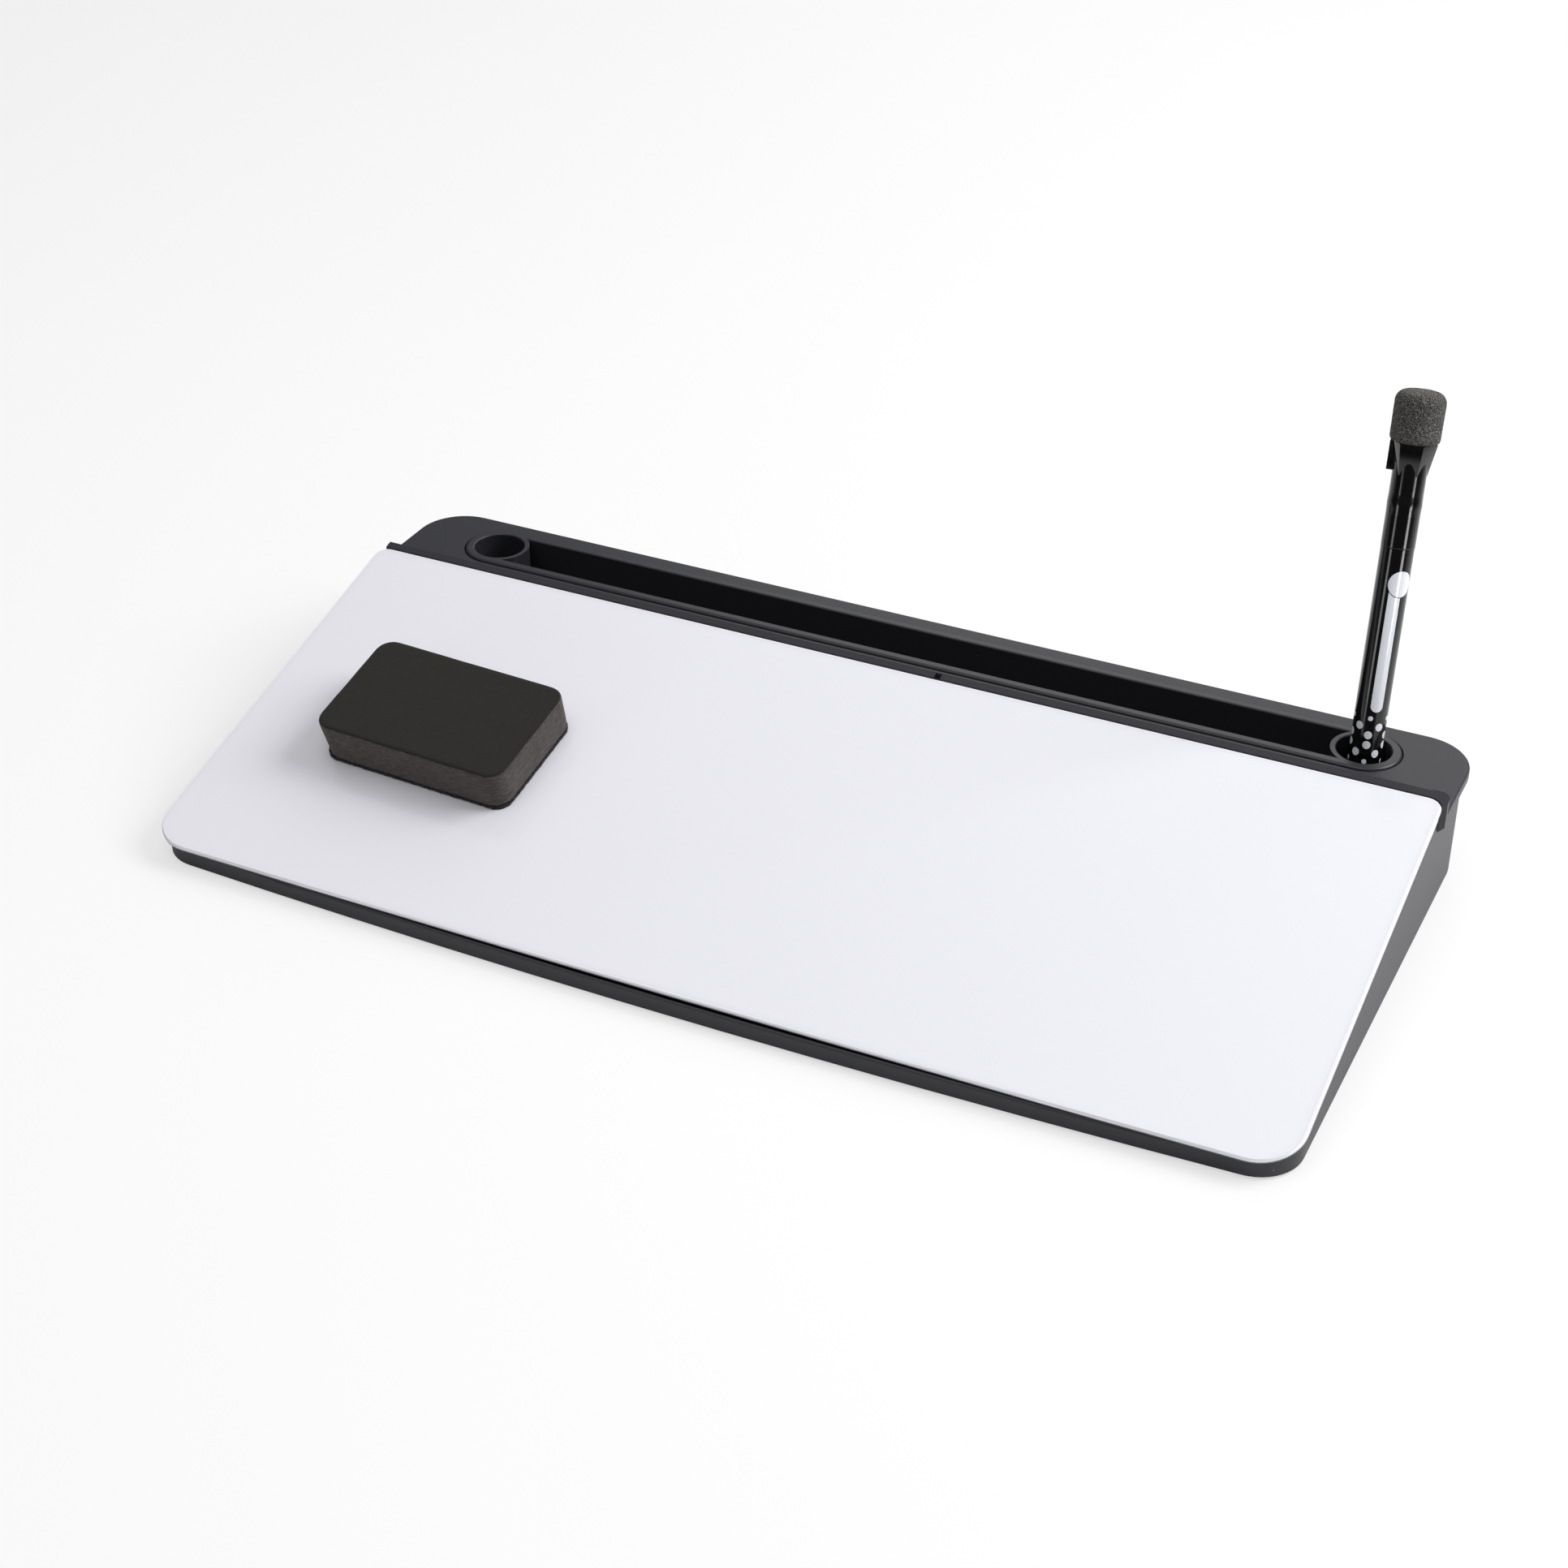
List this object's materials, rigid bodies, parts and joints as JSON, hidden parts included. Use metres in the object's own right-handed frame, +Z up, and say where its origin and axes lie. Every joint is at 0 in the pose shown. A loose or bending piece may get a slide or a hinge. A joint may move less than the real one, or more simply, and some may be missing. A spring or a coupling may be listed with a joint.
{
  "type": "desktop dry-erase board",
  "caption": "Desktop dry-erase board: white glass panel on a dark wedge base, with a rear phone slot, pen cups, a capped marker and a foam eraser.",
  "frame": {"origin": "on the table, under the middle of the whole object's bounding box, with the marker leaning back", "axes": "+X along the board to the marker's side, +Y from the low front edge to the rear, +Z up"},
  "size_m": [0.4002, 0.2242, 0.1579],
  "materials": {
    "charcoal_plastic": "satin charcoal moulding",
    "holder_plastic": "satin charcoal moulding",
    "glass": "clear polished",
    "white_film": "smooth white film",
    "foam_tape": "white closed-cell foam",
    "tray_plastic": "plain moulding",
    "screw_steel": "zinc-plated",
    "pad_rubber": "matte",
    "marker_black": "gloss black",
    "ink_felt": "dense fibre",
    "nib_plastic": "smooth",
    "seal_rubber": "matte",
    "head_felt": "speckled dark grey felt",
    "eraser_felt": "black felt",
    "eraser_foam": "dark grey closed-cell foam"
  },
  "bodies": {
    "base": {"base_shell": "charcoal_plastic", "rear_deck": "charcoal_plastic", "deck_screws": "screw_steel", "rubber_feet": "pad_rubber", "board_rest_pads": "pad_rubber"},
    "board": {"glass_panel": "glass", "white_backing": "white_film", "foam_tape": "foam_tape", "board_tray": "tray_plastic"},
    "holder": {"holder_insert": "holder_plastic"},
    "marker": {"marker_barrel": "marker_black", "marker_end_plug": "marker_black", "ink_reservoir": "ink_felt", "nib_holder": "nib_plastic", "marker_nib": "ink_felt"},
    "marker_cap": {"marker_cap": "marker_black", "cap_seal": "seal_rubber", "cap_eraser_head": "head_felt"},
    "eraser": {"eraser_felt": "eraser_felt", "eraser_foam": "eraser_foam"}
  },
  "joints": [
    {"name": "board_lift", "type": "slide", "parent": "base", "child": "board", "axis": [0, -0.2402, 0.9707], "range_m": [0, 0.06]},
    {"name": "eraser_lift", "type": "slide", "parent": "board", "child": "eraser", "axis": [0, -0.2402, 0.9707], "range_m": [0, 0.03]},
    {"name": "holder_lift", "type": "slide", "parent": "base", "child": "holder", "axis": [0, 0, 1], "range_m": [0, 0.045]},
    {"name": "marker_lift", "type": "slide", "parent": "holder", "child": "marker", "axis": [-0.0305, 0.2629, 0.9643], "range_m": [0, 0.03]},
    {"name": "cap_pull", "type": "slide", "parent": "marker", "child": "marker_cap", "axis": [-0.0305, 0.2629, 0.9643], "range_m": [0, 0.045]}
  ]
}
